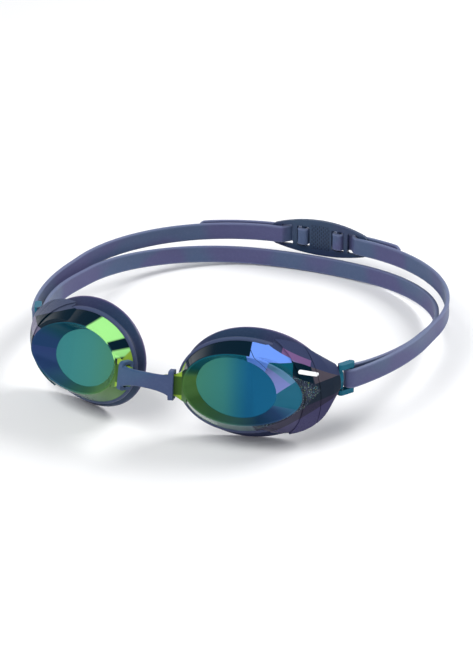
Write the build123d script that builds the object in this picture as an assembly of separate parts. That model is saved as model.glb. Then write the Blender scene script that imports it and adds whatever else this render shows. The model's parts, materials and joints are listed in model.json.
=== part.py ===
from build123d import *

import os
from math import cos, degrees, pi, radians, sin

# Swim goggles: two pitched eye cups on a hooked nose bridge, and one silicone strap that runs twice
# round the head and is woven through a clip at the back. Millimetres.
# The parts are drawn with the strap ring level: X to the wearer's left, Y to the back of the head, Z up.
# Only the half at +X, the wearer's left, is drawn, and is then mirrored. At the end everything is tipped
# back until it stands on the two eye seals and on the back of the lower strand.

# ---- strap ring in plan: half of the outer mid-line, from the middle of the back to a side loop ----
STRAP_WIDTH = 8.0
STRAP_THICK = 1.7
RING_BACK_Y = 171.0
BACK_RADIUS, BACK_TURN = 150.0, 10.0
CORNER_RADIUS, CORNER_TURN = 72.8, 80.0
SIDE_RUN = 11.0
SIDE_RADIUS, SIDE_TURN = 110.0, 27.0
UPPER_RISE = 0.9            # degrees that the upper strand climbs towards the back
LOWER_FALL = 3.8            # degrees that the lower strand drops towards the back
MIDDLE_GAP = 1.2            # between the two halves of the lower strand
CLIP_GAP = 1.2              # between the clip's length of strap and each upper strand
LEG = 4.0                   # length of the inner layer that stays with each loop turn
OUTER_LEG = 7.0             # the outer layer's leg before it is rounded off by the lift cylinder
LIFT_RADIUS = 5.2           # the turn's outer leg ends on this cylinder, so that the upper strand can lift
PIECE_GAP = 0.3             # between pieces of the strap that move on different bodies

# ---- side loop at the end of each temple arm ----
BAR_RADIUS = 1.25
BAR_CLEARANCE = 0.08
LAYER_INSET = 2 * (BAR_RADIUS + BAR_CLEARANCE) + STRAP_THICK
LOOP_RAIL = 2.2
LOOP_PLAY = 0.4
LOOP_REACH = 4.8            # from the bar's axis to the end of the arm
LOOP_HALF_HEIGHT = STRAP_WIDTH / 2 + LOOP_PLAY + LOOP_RAIL

# ---- eye cup: every outline is an oval in a plane at some depth behind the rim ----
OVAL_POINTS = 12
CUP_CENTRE = (38.45, 7.29, -0.87)   # middle of the rim
CUP_WRAP = 15.0
CUP_PITCH = 10.0
WALL = 1.8
RIM = dict(long=24.3, tall=14.6, slant=-0.04, taper=0.10)
DISH = dict(shift=-3.1, long=16.1, tall=12.0, slant=-0.10, taper=0.03)
DISH_DEPTH = 3.9
BASE = dict(long=27.0, tall=18.5, taper=0.06)
BASE_DEPTH = 7.5
SEAL = (                    # depth, shift to the temple, half length, half height
    (7.6, 0.1, 27.7, 19.2), (9.2, 0.4, 28.2, 19.8), (10.1, 0.6, 26.9, 18.5), (11.4, 1.0, 27.1, 19.0),
    (13.6, 2.4, 29.4, 22.0), (14.8, 3.0, 30.1, 22.7), (15.8, 3.0, 29.5, 22.1))
SEAL_MOUTH = ((7.5, 0.0, 25.2, 16.7), (12.0, 1.0, 25.2, 17.2), (15.8, 2.8, 26.8, 19.4))
SEAL_TAPER = 0.06
ARM_ROOT = dict(depth=0.5, shift=5.6, long=18.4, tall=14.0)
ARM_FLARE = dict(depth=10.0, shift=12.5, long=22.2, tall=19.0)    # where the arm spreads over the seal
ARM_TIP = dict(long=1.5, tall=4.7)
ARM_CLEARANCE = 0.35
TRIM_THICK = 0.6
TRIM_GAP = 0.2              # under the trim and accent, filled by their adhesive
TRIM_SPAN = (-17.0, -6.9)   # distances from the loop bar, towards the back
ACCENT_SPAN = (-25.0, -17.3)

# ---- nose tab of the lens and the bridge that hooks over it ----
TAB_THICK = 1.8
TAB_ROOT_HALF, TAB_TIP_HALF = 5.8, 3.8
TAB_ROOT, TAB_TIP = -22.5, -30.9
EYELET_AT = -28.6           # place of the eyelet along the cup's long axis, which is the cup's pivot
EYELET_THICK = 2.0
EYELET_DEPTH, EYELET_HEIGHT = 6.6, 12.0
EYELET_CORNER = 1.6
BRIDGE_THICK = 2.2
BRIDGE_HEIGHT, BRIDGE_END_HEIGHT = 6.4, 9.4
BRIDGE_RISE, BRIDGE_BOW = 1.2, 1.4     # how far the arch's middle stands above and in front of its ends
BEAD_RADIUS = 1.0
POCKET_DEPTH, POCKET_HEIGHT = 2.8, 9.4
POCKET_REACH = 2.9          # how far past the eyelet the hollow goes in which the tab's end swings

# ---- back clip ----
CLIP_THICK = 1.8
CLIP_HALF = 24.0
CLIP_HALF_HEIGHT, CLIP_END_HALF_HEIGHT = 8.5, 4.6
CLIP_OFFSET = (CLIP_THICK + STRAP_THICK) / 2 + 0.1    # the plate lies outside the upper strand
PAD_HALF = 5.6
THIN_BAR_AT, THIN_BAR_RADIUS = 8.7, 0.6
INNER_BAR = (11.8, 13.9)
END_BAR = 19.5
WINDOW_HALF_HEIGHT = 4.9
WEAVE_GAP = 0.1             # between the woven strap and the bars
FOLD_GAP = 0.6              # between the folded layer and the one under it
TAIL_OFFSET = CLIP_OFFSET + CLIP_THICK / 2 + STRAP_THICK / 2 + 0.3
FOLD_END = 18.8             # where the fixed fold of the strap ends
TAIL_START = 22.0           # where the sliding tail begins, so that it can be fed back a little
TAIL_END = {"left": 40.5, "right": 58.0}    # wearer's sides; left is +X
TAIL_CORNER = 3.0

REST_TILT = 5.065           # how far the goggles tip back when they stand on a table

# ---- worked out from the above ----
END_X = (BACK_RADIUS - CORNER_RADIUS) * sin(radians(BACK_TURN)) + CORNER_RADIUS
STRAIGHT_Y = RING_BACK_Y - BACK_RADIUS + (BACK_RADIUS - CORNER_RADIUS) * cos(radians(BACK_TURN))
SIDE_CENTRE = (END_X - SIDE_RADIUS, STRAIGHT_Y - SIDE_RUN)
HEADING = radians(SIDE_TURN)
BAR_AT = (
    SIDE_CENTRE[0] + (SIDE_RADIUS - LAYER_INSET / 2) * cos(HEADING),
    SIDE_CENTRE[1] - (SIDE_RADIUS - LAYER_INSET / 2) * sin(HEADING))
BACK_CENTRE = (0.0, RING_BACK_Y - BACK_RADIUS)


def cup_plane(depth=0.0):
    """A plane of the left cup: x towards the temple, y up, z out of the front."""
    wrap, pitch = radians(CUP_WRAP), radians(CUP_PITCH)
    front = Vector(sin(wrap) * cos(pitch), -cos(wrap) * cos(pitch), sin(pitch))
    plane = Plane(origin=CUP_CENTRE, x_dir=(cos(wrap), sin(wrap), 0), z_dir=front)
    return plane.offset(-depth)


def arm_plane():
    """The plane across the left arm at the loop bar: x outwards, y up, z towards the back."""
    return Plane(origin=(*BAR_AT, 0), x_dir=(cos(HEADING), -sin(HEADING), 0),
                 z_dir=(sin(HEADING), cos(HEADING), 0))


def oval(plane, long, tall, shift=0.0, slant=0.0, taper=0.0):
    """An egg-shaped face, blunter on the nose side, made from one closed curve."""
    points = []
    for step in range(OVAL_POINTS):
        angle = 2 * pi * step / OVAL_POINTS
        u = long * cos(angle)
        v = tall * sin(angle) * (1 - taper * cos(angle)) + slant * u
        points.append((u + shift, v))
    return plane * make_face(Spline(*points, periodic=True))


def stack(sections, grow=0.0, taper=0.0):
    """A closed tube of ovals: each section is (depth, shift, half length, half height)."""
    faces = [
        oval(cup_plane(depth), long + grow, tall + grow, shift=shift, taper=taper)
        for depth, shift, long, tall in sections]
    return loft(faces, ruled=True)


def grown(outline, amount):
    """The same outline, larger by an amount on every side."""
    return {**outline, "long": outline["long"] + amount, "tall": outline["tall"] + amount}


def arm_body(grow=0.0):
    """The temple arm as a taper from the side of the cup to the strap loop."""
    ovals = [
        oval(cup_plane(place["depth"]), place["long"] + grow, place["tall"] + grow, shift=place["shift"])
        for place in (ARM_ROOT, ARM_FLARE)]
    tip = oval(arm_plane().offset(-LOOP_REACH), ARM_TIP["long"] + grow, ARM_TIP["tall"] + grow)
    return loft([*ovals, tip], ruled=True)


def seal_envelope():
    """The space that the eye seal needs, with clearance to the arm."""
    sections = (SEAL[0], SEAL[1], SEAL[4], SEAL[5], (19.0, 3.2, 30.1, 22.7), (30.0, 3.2, 30.1, 22.7))
    return stack(sections, grow=ARM_CLEARANCE, taper=SEAL_TAPER)


def cup_hollow():
    """The space inside the lens wall, behind the rim."""
    front = oval(cup_plane(WALL), **grown(RIM, -WALL))
    back = oval(cup_plane(BASE_DEPTH + 0.5), **grown(BASE, -WALL))
    return loft([front, back], ruled=True)


def loop_frame():
    """The strap loop: a round bar between two rails."""
    rail_plan = SlotCenterToCenter(LOOP_REACH, 3.0)
    plane = Plane(origin=(*BAR_AT, 0), x_dir=(sin(HEADING), cos(HEADING), 0), z_dir=(0, 0, 1))
    inner = STRAP_WIDTH / 2 + LOOP_PLAY
    frame = plane * Cylinder(BAR_RADIUS, 2 * inner + 1)
    for height in (inner, -LOOP_HALF_HEIGHT):
        rail = plane.offset(height) * Pos(-LOOP_REACH / 2, 0) * rail_plan
        frame += extrude(rail, LOOP_RAIL)
    return frame


def nose_tab():
    """The flat tab that passes through the bridge's eyelet, with a bead that keeps it there."""
    outline = Polyline(
        (TAB_ROOT, TAB_ROOT_HALF + 1.2), (EYELET_AT + 1.2, TAB_TIP_HALF + 0.4), (TAB_TIP, TAB_TIP_HALF),
        (TAB_TIP, -TAB_TIP_HALF), (EYELET_AT + 1.2, -TAB_TIP_HALF - 0.4), (TAB_ROOT, -TAB_ROOT_HALF - 1.2),
        close=True)
    tab = extrude(cup_plane(TAB_THICK + 0.1) * make_face(outline), TAB_THICK)
    bead_place = cup_plane(TAB_THICK / 2 + 0.1) * Pos(TAB_TIP, 0) * Rot(X=90)
    return tab + bead_place * Cylinder(BEAD_RADIUS, 2 * TAB_TIP_HALF)


def lens():
    """Clear cup with its recessed window, temple arm, strap loop and nose tab, moulded in one."""
    rim = oval(cup_plane(), **RIM)
    wall = loft([rim, oval(cup_plane(BASE_DEPTH), **BASE)], ruled=True) - cup_hollow()
    window_back = oval(cup_plane(DISH_DEPTH + WALL), **grown(DISH, 1.2))
    dish = loft([oval(cup_plane(), **grown(RIM, -0.1)), window_back], ruled=True)
    mouth = loft([oval(cup_plane(-0.05), **grown(RIM, -0.7)), oval(cup_plane(DISH_DEPTH), **DISH)],
                 ruled=True)
    arm = arm_body() - cup_hollow() - seal_envelope()
    front = loft([oval(cup_plane(0.02), **grown(RIM, -1.0)), oval(cup_plane(WALL + 0.1), **grown(RIM, -1.9))],
                 ruled=True)
    body = wall + (arm - front) + dish - mouth
    return body + (nose_tab() - cup_hollow() - mouth) + loop_frame()


def eye_seal():
    """Soft seal: a front band on the lens wall, a groove, and a flange that meets the face."""
    return stack(SEAL, taper=SEAL_TAPER) - stack(SEAL_MOUTH, taper=SEAL_TAPER)


def arm_skin(start, end):
    """A thin plate on the outside of the arm, between two distances in front of the loop bar."""
    skin = arm_body(TRIM_THICK) - arm_body(TRIM_GAP) - seal_envelope()
    rim_room = [oval(cup_plane(-6), **grown(RIM, 1.5)), oval(cup_plane(2.2), **grown(RIM, 1.0))]
    wall_room = [oval(cup_plane(-TRIM_GAP), **grown(RIM, TRIM_GAP)),
                 oval(cup_plane(BASE_DEPTH + TRIM_GAP), **grown(BASE, TRIM_GAP))]
    for room in (rim_room, wall_room):
        skin -= loft(room, ruled=True)
    from_start = (Align.CENTER, Align.CENTER, Align.MIN)
    slab = arm_plane().offset(start) * Box(40, 60, end - start, align=from_start)
    plate = skin & slab
    return max(plate.solids(), key=lambda solid: solid.volume)


def eyelet_plane():
    """The plane of the left eyelet: x towards the front, y up, z towards the temple."""
    cup = cup_plane(TAB_THICK / 2 + 0.1)
    return Plane(origin=cup.from_local_coords(Vector(EYELET_AT, 0, 0)), x_dir=cup.z_dir, z_dir=cup.x_dir)


def nose_bridge():
    """Soft arch between the two eyelets, tallest where it meets them, hollowed behind each nose tab."""
    plane = eyelet_plane()
    ends = plane.origin + plane.x_dir * (EYELET_DEPTH / 2 - BRIDGE_THICK / 2)
    sections = []
    for share in (-1.0, -0.5, 0.0, 0.5, 1.0):
        crown = 1 - share * share
        height = BRIDGE_HEIGHT + (BRIDGE_END_HEIGHT - BRIDGE_HEIGHT) * abs(share) ** 3
        turn, pitch = radians(CUP_WRAP * share), radians(CUP_PITCH)
        place = Plane(
            origin=(ends.X * share, ends.Y - BRIDGE_BOW * crown, ends.Z + BRIDGE_RISE * crown),
            x_dir=(sin(turn) * cos(pitch), -cos(turn) * cos(pitch), sin(pitch)),
            z_dir=(cos(turn), sin(turn), 0))
        sections.append(place * RectangleRounded(BRIDGE_THICK, height, 0.4 * BRIDGE_THICK))
    rounded = plane * RectangleRounded(EYELET_DEPTH, EYELET_HEIGHT, EYELET_CORNER)
    eyelet = extrude(rounded, EYELET_THICK / 2, both=True)
    to_nose = (Align.CENTER, Align.CENTER, Align.MAX)
    pocket = plane.offset(EYELET_THICK) * Box(
        POCKET_DEPTH, POCKET_HEIGHT, 1.5 * EYELET_THICK + POCKET_REACH, align=to_nose)
    bridge = loft(sections) + eyelet + mirrored(eyelet)
    return bridge - pocket - mirrored(pocket)


def ring_path(inset, start_turn=0.0, side_turn=SIDE_TURN):
    """Half of the ring in plan at an inset from the outer mid-line, as four tangent pieces."""
    reach = BACK_RADIUS - inset
    angle = radians(start_turn)
    start = (reach * sin(angle), BACK_CENTRE[1] + reach * cos(angle))
    back = JernArc(start, (cos(angle), -sin(angle)), reach, start_turn - BACK_TURN)
    corner = JernArc(back @ 1, back % 1, CORNER_RADIUS - inset, -CORNER_TURN)
    run = Line(corner @ 1, corner @ 1 + Vector(0, -SIDE_RUN))
    side = JernArc(run @ 1, run % 1, SIDE_RADIUS - inset, -side_turn)
    return [back, corner, run, side]


def band(outer, inner):
    """The strip between two plan lines, as a strap standing on its edge."""
    ends = [Line(outer[0] @ 0, inner[0] @ 0), Line(outer[-1] @ 1, inner[-1] @ 1)]
    face = make_face(Wire([*outer, *inner, *ends]))
    return Pos(0, 0, -STRAP_WIDTH / 2) * extrude(face, STRAP_WIDTH)


def tilt_about_bar(shape, angle):
    """Turn about the line through both loop bars."""
    return shape.rotate(Axis((0, BAR_AT[1], 0), (1, 0, 0)), angle)


def lift_cylinder(radius):
    """A cylinder on the line through both loop bars, about which the upper strands lift."""
    return Pos(0, BAR_AT[1], 0) * Rot(Y=90) * Cylinder(radius, 3 * END_X)


def upper_strand():
    """Outer layer: from the clip's end to the loop, hollowed at the front to turn on the loop's leg."""
    start = degrees((CLIP_HALF + CLIP_GAP) / BACK_RADIUS)
    half = STRAP_THICK / 2
    strand = band(ring_path(-half, start), ring_path(half, start))
    return tilt_about_bar(strand, UPPER_RISE) - lift_cylinder(LIFT_RADIUS + PIECE_GAP)


def lower_strand():
    """Inner layer: from the middle of the back to the loop."""
    start = degrees(MIDDLE_GAP / 2 / BACK_RADIUS)
    side = SIDE_TURN - degrees((LEG + PIECE_GAP) / SIDE_RADIUS)
    half = STRAP_THICK / 2
    strand = band(ring_path(LAYER_INSET - half, start, side), ring_path(LAYER_INSET + half, start, side))
    return tilt_about_bar(strand, -LOWER_FALL)


def strap_turn():
    """The U of strap round the loop bar, with a short leg of each layer."""
    half = STRAP_THICK / 2
    inner_radius, outer_radius = BAR_RADIUS + BAR_CLEARANCE, BAR_RADIUS + BAR_CLEARANCE + STRAP_THICK
    plane = Plane(origin=(*BAR_AT, 0), x_dir=(cos(HEADING), -sin(HEADING), 0), z_dir=(0, 0, 1))
    ring = Circle(outer_radius) - Circle(inner_radius)
    front_half = Pos(0, -outer_radius) * Rectangle(4 * outer_radius, 2 * outer_radius)
    turn = plane * (ring & front_half)
    shape = Pos(0, 0, -STRAP_WIDTH / 2) * extrude(turn, STRAP_WIDTH)
    for inset, length in ((0.0, OUTER_LEG), (LAYER_INSET, LEG)):
        leg = degrees(length / SIDE_RADIUS)
        radius = SIDE_RADIUS - inset
        lines = [CenterArc(SIDE_CENTRE, radius + edge, -SIDE_TURN, leg) for edge in (-half, half)]
        caps = [Line(lines[0] @ end, lines[1] @ end) for end in (0, 1)]
        leg_face = make_face(Wire([*lines, *caps]))
        shape += Pos(0, 0, -STRAP_WIDTH / 2) * extrude(leg_face, STRAP_WIDTH)
    return shape & lift_cylinder(LIFT_RADIUS)


def at_back(along, offset):
    """A plan point at a distance along the back arc and an offset outside the upper strand."""
    angle = along / BACK_RADIUS
    reach = BACK_RADIUS + offset
    return (BACK_CENTRE[0] + reach * sin(angle), BACK_CENTRE[1] + reach * cos(angle))


def back_clip():
    """Bowed plate with three slots on each side of a gripping pad."""
    reach = BACK_RADIUS + CLIP_OFFSET
    plate = Circle(reach + CLIP_THICK / 2) - Circle(reach - CLIP_THICK / 2)
    plate = Pos(*BACK_CENTRE, -CLIP_HALF_HEIGHT) * extrude(plate, 2 * CLIP_HALF_HEIGHT)
    crown, keel = [
        ThreePointArc((-CLIP_HALF, flip * CLIP_END_HALF_HEIGHT), (0, flip * CLIP_HALF_HEIGHT),
                      (CLIP_HALF, flip * CLIP_END_HALF_HEIGHT))
        for flip in (1, -1)]
    ends = [Line(crown @ end, keel @ end) for end in (0, 1)]
    outline = make_face(Wire([crown, keel, *ends]))
    outline = fillet(outline.vertices(), 2.5)
    front = Plane(origin=(0, RING_BACK_Y - 15, 0), x_dir=(1, 0, 0), z_dir=(0, -1, 0))
    clip = plate & extrude(front * outline, -30)
    for side in (1, -1):
        for start, end in ((PAD_HALF, INNER_BAR[0]), (INNER_BAR[1], END_BAR)):
            hole = RectangleRounded(end - start, 2 * WINDOW_HALF_HEIGHT, 0.8)
            clip -= extrude(front * Pos(side * (start + end) / 2, 0) * hole, -30)
        thin_bar = Pos(side * at_back(THIN_BAR_AT, 0)[0], at_back(THIN_BAR_AT, CLIP_OFFSET)[1])
        clip += thin_bar * Cylinder(THIN_BAR_RADIUS, 2 * WINDOW_HALF_HEIGHT + 1)
    return tilt_about_bar(clip, UPPER_RISE)


def strap_weave():
    """The strap through one side of the clip: in, over the thin bar, back out and folded over."""
    behind = CLIP_OFFSET + (CLIP_THICK + STRAP_THICK) / 2 + WEAVE_GAP
    over_bar = CLIP_OFFSET - THIN_BAR_RADIUS - STRAP_THICK / 2 - WEAVE_GAP
    folded = behind + STRAP_THICK + FOLD_GAP
    outer_pass = (THIN_BAR_AT + THIN_BAR_RADIUS + INNER_BAR[0]) / 2
    inner_pass = (THIN_BAR_AT - THIN_BAR_RADIUS + PAD_HALF) / 2
    stations = (
        (CLIP_HALF, 0.0), (END_BAR - 0.8, 0.0), (INNER_BAR[1] + 1.2, behind),
        (outer_pass + 0.5, behind), (outer_pass, over_bar), (inner_pass, over_bar),
        (inner_pass, behind), (PAD_HALF - 1.8, behind), (PAD_HALF - 1.8, folded),
        (INNER_BAR[1] + 0.6, folded), (FOLD_END - 0.8, TAIL_OFFSET), (FOLD_END, TAIL_OFFSET))
    line = FilletPolyline(*[at_back(*station) for station in stations], radius=1.1)
    weave = Pos(0, 0, -STRAP_WIDTH / 2) * extrude(trace(line, STRAP_THICK), STRAP_WIDTH)
    return tilt_about_bar(weave, UPPER_RISE)


def strap_tail(end):
    """The free end of the strap, lying outside the upper strand, with rounded corners."""
    back_end = degrees(TAIL_START) / BACK_RADIUS
    lines = []
    for edge in (TAIL_OFFSET - STRAP_THICK / 2, TAIL_OFFSET + STRAP_THICK / 2):
        back, corner = ring_path(-edge, back_end)[:2]
        rest = degrees((end - radians(BACK_TURN) * BACK_RADIUS) / CORNER_RADIUS)
        lines.append([back, JernArc(corner @ 0, corner % 0, CORNER_RADIUS + edge, -rest)])
    tail = tilt_about_bar(band(lines[1], lines[0]), UPPER_RISE)
    short = tail.edges().filter_by(lambda edge: edge.length < 2 * STRAP_THICK)
    tip = sorted(short, key=lambda edge: edge.center().X)[-4:]
    corners = [edge for edge in tip if abs(edge.tangent_at(0.5).Z) < 0.5]
    return fillet(corners, TAIL_CORNER)


def mirrored(shape):
    return mirror(shape, about=Plane.YZ)


def right_and_left(name, shape):
    """A node for the wearer's left side, drawn at +X, and its mirror image."""
    return {f"{name}_left": shape, f"{name}_right": mirrored(shape)}


def level_nodes():
    """Every node with the strap ring level."""
    nodes = {"nose_bridge": nose_bridge(), "back_clip": back_clip()}
    nodes |= right_and_left("lens", lens())
    nodes |= right_and_left("eye_seal", eye_seal())
    nodes |= right_and_left("temple_trim", arm_skin(*TRIM_SPAN))
    nodes |= right_and_left("temple_accent", arm_skin(*ACCENT_SPAN))
    nodes |= right_and_left("strap_turn", strap_turn())
    nodes |= right_and_left("strap_lower", lower_strand())
    nodes |= right_and_left("strap_upper", upper_strand())
    nodes |= right_and_left("strap_weave", strap_weave())
    nodes["strap_tail_left"] = strap_tail(TAIL_END["left"])
    nodes["strap_tail_right"] = mirrored(strap_tail(TAIL_END["right"]))
    return nodes


def tipped(shape):
    """Tip the back down until the seals and the lower strand share one floor."""
    return Rot(X=-REST_TILT) * shape


def pivots():
    """Named places on the left half and the directions that go with them: joints and mounts."""
    cup = cup_plane()
    window = cup_plane(DISH_DEPTH).from_local_coords(Vector(DISH["shift"], 0, 0))
    seal = cup_plane(SEAL[-1][0]).from_local_coords(Vector(SEAL[-1][1], 0, 0))
    upright = Vector(0, 0, 1)
    tipped_up = upright.rotate(Axis.X, UPPER_RISE)
    clip_end = Pos(*at_back(CLIP_HALF, 0), 0)
    rise = Pos(0, BAR_AT[1], 0) * Rot(X=UPPER_RISE) * Pos(0, -BAR_AT[1], 0)
    return (
        ("cup_swivel", eyelet_plane().origin, upright),
        ("band_swivel", (*BAR_AT, 0), upright),
        ("upper_lift", (0, BAR_AT[1], 0), Vector(1, 0, 0)),
        ("clip_yaw", (rise * clip_end).position, tipped_up),
        ("tail_feed", (rise * Pos(*BACK_CENTRE, 0)).position, tipped_up),
        ("window", window, cup.z_dir),
        ("face_seal", seal, -cup.z_dir),
        ("ring_middle", (0, BACK_CENTRE[1] + 70, 0), upright))


def main():
    os.makedirs("parts", exist_ok=True)
    nodes = {name: tipped(shape) for name, shape in level_nodes().items()}
    boxes = [shape.bounding_box() for shape in nodes.values()]
    low = Vector(*[min(getattr(box.min, axis) for box in boxes) for axis in "XYZ"])
    high = Vector(*[max(getattr(box.max, axis) for box in boxes) for axis in "XYZ"])
    to_origin = Pos(-(low.X + high.X) / 2, -(low.Y + high.Y) / 2, -low.Z)
    for name, shape in nodes.items():
        export_step(to_origin * shape, f"parts/{name}.step")
    print("size", high - low)
    for name, point, direction in pivots():
        there = to_origin * Rot(X=-REST_TILT) * Pos(*point)
        axis = Vector(*direction).rotate(Axis.X, -REST_TILT)
        metres = [round(value / 1000, 6) for value in there.position]
        print(name, metres, [round(value, 6) for value in axis])
    for name, shape in nodes.items():
        print("lowest", name, round(shape.bounding_box().min.Z - low.Z, 3))


if __name__ == "__main__":
    main()
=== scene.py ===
"""Swim goggles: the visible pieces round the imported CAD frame.

Lengths are millimetres in the shapes below and become metres when a piece is made. "Level" is the frame in
which the strap ring lies flat: x to the wearer's left, y to the back, z up. Every piece is drawn for the left
side, at +X, and mirrored for the right.
"""

import json
from math import ceil, cos, hypot, pi, radians, sin, sqrt

import bmesh
import bpy
from mathutils import Matrix, Vector


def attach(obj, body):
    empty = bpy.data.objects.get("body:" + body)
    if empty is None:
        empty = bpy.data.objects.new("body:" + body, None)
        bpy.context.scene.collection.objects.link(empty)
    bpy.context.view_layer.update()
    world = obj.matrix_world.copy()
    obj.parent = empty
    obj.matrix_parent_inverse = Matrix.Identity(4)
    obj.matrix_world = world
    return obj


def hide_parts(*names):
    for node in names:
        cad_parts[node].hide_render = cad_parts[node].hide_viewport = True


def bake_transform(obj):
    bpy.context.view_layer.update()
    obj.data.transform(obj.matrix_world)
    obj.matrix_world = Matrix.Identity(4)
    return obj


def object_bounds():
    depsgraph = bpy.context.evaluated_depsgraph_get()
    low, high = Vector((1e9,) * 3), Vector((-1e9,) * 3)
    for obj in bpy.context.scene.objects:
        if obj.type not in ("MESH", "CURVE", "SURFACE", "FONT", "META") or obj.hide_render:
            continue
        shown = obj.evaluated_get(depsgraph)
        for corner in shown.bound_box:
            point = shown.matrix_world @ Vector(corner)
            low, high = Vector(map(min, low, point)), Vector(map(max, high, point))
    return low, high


MM = 0.001
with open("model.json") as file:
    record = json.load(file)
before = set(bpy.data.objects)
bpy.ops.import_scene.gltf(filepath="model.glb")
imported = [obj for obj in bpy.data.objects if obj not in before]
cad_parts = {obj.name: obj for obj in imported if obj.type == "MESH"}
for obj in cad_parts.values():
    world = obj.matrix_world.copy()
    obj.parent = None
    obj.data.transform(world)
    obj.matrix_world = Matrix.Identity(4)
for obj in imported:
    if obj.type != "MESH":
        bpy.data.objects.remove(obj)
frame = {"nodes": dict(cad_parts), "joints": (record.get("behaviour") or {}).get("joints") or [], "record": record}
CAD_LOW, CAD_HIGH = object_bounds()
JOINTS = {joint["name"]: joint for joint in frame["joints"]}
MOUNTS = {mount["name"]: mount for mount in frame["record"]["mounts"]}
SIDES = ("left", "right")
MIRROR = Matrix.Diagonal((-1, 1, 1, 1))

# ---- strap, as in the CAD source ----
STRAP_WIDTH, STRAP_THICK = 8.0, 1.7
STRAP_ROUND, STRAP_MARGIN, STRAP_RECESS, STRAP_SLOPE = 0.55, 1.1, 0.12, 0.5
RING_BACK_Y = 171.0
# From the middle of the back to the loop: radius and degrees, or None and a straight length.
RING_TURNS = ((150.0, 10.0), (72.8, 80.0), (None, 11.0), (110.0, 27.0))
UPPER_RISE, LOWER_FALL = 0.9, 3.8   # degrees that the strands tilt out of level
CLIP_RISE = 2.3             # of the clip's middle above the loop bars
BAR_GRIP = 1.25 + 0.08 + STRAP_THICK / 2    # from the loop bar's axis to the middle of the strap round it
LAYER_INSET = 2 * BAR_GRIP
LEG = 4.0                   # length of the inner layer that belongs to the turn round the bar
STATION_STEP = 2.5          # between the sections of a long run of strap
TIP_ROUND = 3.0             # radius of the corners at a free tail's tip
TONGUE = (0.72, 0.93)       # thickness and width of a hidden end, as shares of the strap's
TONGUE_START = 0.1          # from the end of the full section to the first slim one
TILT_RUN = 9.0              # stretch from the loop over which a strand takes up its tilt
CLIP_HALF, CLIP_THICK, CLIP_OFFSET = 24.0, 1.8, 1.85
PAD_HALF, THIN_BAR_AT, THIN_BAR_RADIUS, INNER_BAR, END_BAR = 5.6, 8.7, 0.6, (11.8, 13.9), 19.5
DASH_COLUMNS, DASH_ROWS = 1.05, 0.52        # per millimetre
DASHED_LONG, DASHED_TALL = 4.8, 6.0         # half size of the dashed part of the pad
TAIL_OFFSET = CLIP_OFFSET + CLIP_THICK / 2 + STRAP_THICK / 2 + 0.3
FOLD_END, FOLD_RADIUS = 18.8, 1.1
WEAVE_GAP = 0.1             # between the strap and the clip's bars
FOLD_GAP = 0.6              # between the layers where the strap comes back over itself
MIDDLE_TONGUE, CLIP_TONGUE, TAIL_TONGUE = 3.0, 3.0, 8.2     # hidden ends that reach into the next piece
TAIL_END = {"left": 40.5, "right": 58.0}

# ---- eye cup ----
DISH_SHIFT, DISH_DEPTH = -3.1, 3.9
RIM_LONG, RIM_TALL, RIM_SLANT, RIM_TAPER = 24.3, 14.6, -0.04, 0.10
COATING_INSET = 0.35        # the coating's oval is this much smaller than the rim
# Half size of the middle of the cup's wall at the rim, and its growth per millimetre of depth.
WALL_LONG, WALL_TALL = (23.4, 0.36), (13.7, 0.52)
SEAL_POINTS = 64
SEAL_FRONT = 7.5                                    # depth of the seal's front
SEAL_RUN, SEAL_DEEP = 7.3, 8.3                      # depths over which its shape and its colours change
SEAL_SHIFT, SEAL_SHIFT_POWER = 3.0, 1.6             # towards the temple at the back, and how late it comes
SEAL_OVAL, SEAL_GROWTH, SEAL_TAPER = 8.5, 1.1, 0.06
# The depth behind the rim and the half length, from the mouth's front edge round to its back edge.
SEAL_OUTSIDE = (
    (7.55, 25.6), (7.5, 26.6), (7.6, 27.4), (8.1, 28.0), (8.9, 28.2), (9.5, 27.9), (9.95, 27.1),
    (10.5, 26.85), (11.1, 26.95), (11.9, 27.5), (12.8, 28.6), (13.7, 29.5), (14.5, 30.0),
    (15.1, 30.15), (15.6, 29.9), (15.8, 29.2), (15.75, 28.2), (15.5, 27.2), (14.8, 26.4),
    (13.4, 25.7), (11.6, 25.3), (9.0, 25.2))


def inward(heading):
    """Across the ring, to the middle of it."""
    return Vector((-sin(heading), -cos(heading), 0))


def along(heading):
    """Along the ring, from the back to the left loop."""
    return Vector((cos(heading), -sin(heading), 0))


def ring_at(distance):
    """Point and heading on the ring's outer mid-line, that far from the middle of the back."""
    point, heading = Vector((0, RING_BACK_Y, 0)), 0.0
    for radius, amount in RING_TURNS:
        length = amount if radius is None else radius * radians(amount)
        step = min(distance, length)
        if radius is None:
            point = point + along(heading) * step
        else:
            centre = point + inward(heading) * radius
            heading += step / radius
            point = centre - inward(heading) * radius
        distance -= step
        if distance <= 0:
            break
    return point, heading


RING_LENGTH = sum(amount if radius is None else radius * radians(amount) for radius, amount in RING_TURNS)
LOOP_POINT, LOOP_HEADING = ring_at(RING_LENGTH)
BAR = LOOP_POINT + inward(LOOP_HEADING) * BAR_GRIP


def axes_matrix(x_axis, y_axis, z_axis, origin):
    """Millimetres in those axes to metres in the frame."""
    matrix = Matrix([x_axis, y_axis, z_axis]).transposed().to_4x4()
    return Matrix.Translation(origin) @ matrix @ Matrix.Scale(MM, 4)


def level_matrix():
    """The level frame, hung on the loop bar's joint."""
    joint = JOINTS["band_left_swivel"]
    up, across = Vector(joint["axis"]), Vector((1, 0, 0))
    matrix = axes_matrix(across, up.cross(across), up, (0, 0, 0))
    return Matrix.Translation(Vector(joint["pos_m"]) - matrix @ BAR) @ matrix


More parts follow.
